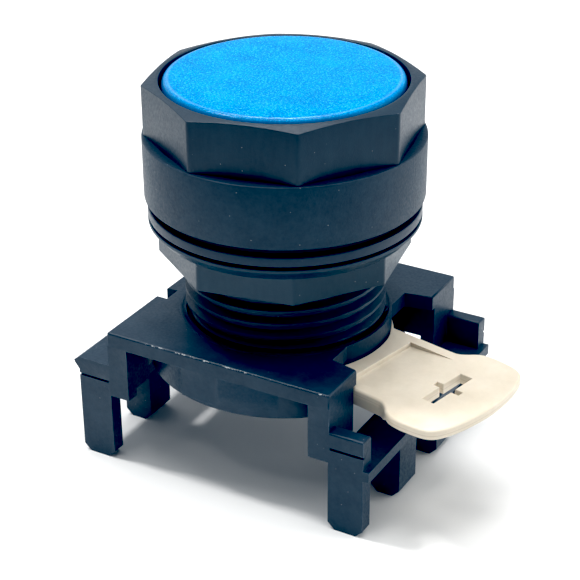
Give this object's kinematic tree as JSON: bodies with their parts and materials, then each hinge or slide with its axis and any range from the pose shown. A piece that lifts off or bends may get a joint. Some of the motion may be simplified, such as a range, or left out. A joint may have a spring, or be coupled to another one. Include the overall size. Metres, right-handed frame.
{
  "type": "industrial push button",
  "caption": "Flush momentary push button with an octagonal bezel, threaded barrel, panel nut and a lever-locked latch for clip-on contact blocks.",
  "frame": {"origin": "on the barrel axis, in the plane of the drum's underside, where the panel's front face seats", "axes": "+Z out of the panel towards the operator; +X towards the middle of the locking lever's swing"},
  "size_m": [0.0459, 0.0302, 0.0428],
  "materials": {
    "cap_blue": "satin moulded, azure blue",
    "bezel_black": "fine grained moulded",
    "head_black": "fine grained moulded",
    "clamp_black": "fine grained moulded",
    "nut_black": "fine grained moulded",
    "latch_black": "glass-filled, satin moulded",
    "retainer_black": "satin moulded",
    "lever_beige": "satin moulded, warm beige",
    "inner_plastic": "moulded, dark grey",
    "black_rubber": "moulded rubber",
    "spring_steel": "drawn steel",
    "washer_steel": "zinc plated"
  },
  "bodies": {
    "operator": {"barrel_body": "head_black", "bezel_ring": "bezel_black", "bezel_gasket": "black_rubber", "wiper_seal": "black_rubber", "spring_seat": "washer_steel", "return_spring": "spring_steel", "plunger_guide": "inner_plastic", "panel_gasket": "black_rubber", "anti_rattle_ring": "black_rubber", "locating_key": "inner_plastic", "latch_base": "latch_black", "lever_retainer": "retainer_black", "detent_spring": "spring_steel"},
    "button": {"button_cap": "cap_blue", "button_carrier": "inner_plastic", "plunger": "inner_plastic", "plunger_clip": "spring_steel"},
    "lever": {"locking_lever": "lever_beige"},
    "washer": {"clamp_washer": "clamp_black"},
    "nut": {"mounting_nut": "nut_black"}
  },
  "joints": [
    {"name": "button_press", "type": "slide", "parent": "operator", "child": "button", "axis": [0, 0, -1], "range_m": [0, 0.004], "stiffness_N_per_m": 500, "springref_m": -0.001, "deforming": ["return_spring"]},
    {"name": "lever_turn", "type": "hinge", "parent": "operator", "child": "lever", "pos_m": [0, 0, 0], "axis": [0, 0, 1], "range_deg": [0, 25]},
    {"name": "washer_travel", "type": "slide", "parent": "operator", "child": "washer", "axis": [0, 0, -1], "range_m": [0, 0.0044]},
    {"name": "nut_turn", "type": "hinge", "parent": "washer", "child": "nut", "pos_m": [0, 0, 0], "axis": [0, 0, -1], "range_deg": [0, 1055]}
  ],
  "couplings": [
    {"joint": "washer_travel", "follows": "nut_turn", "m_per_rad": 0.00023873}
  ]
}
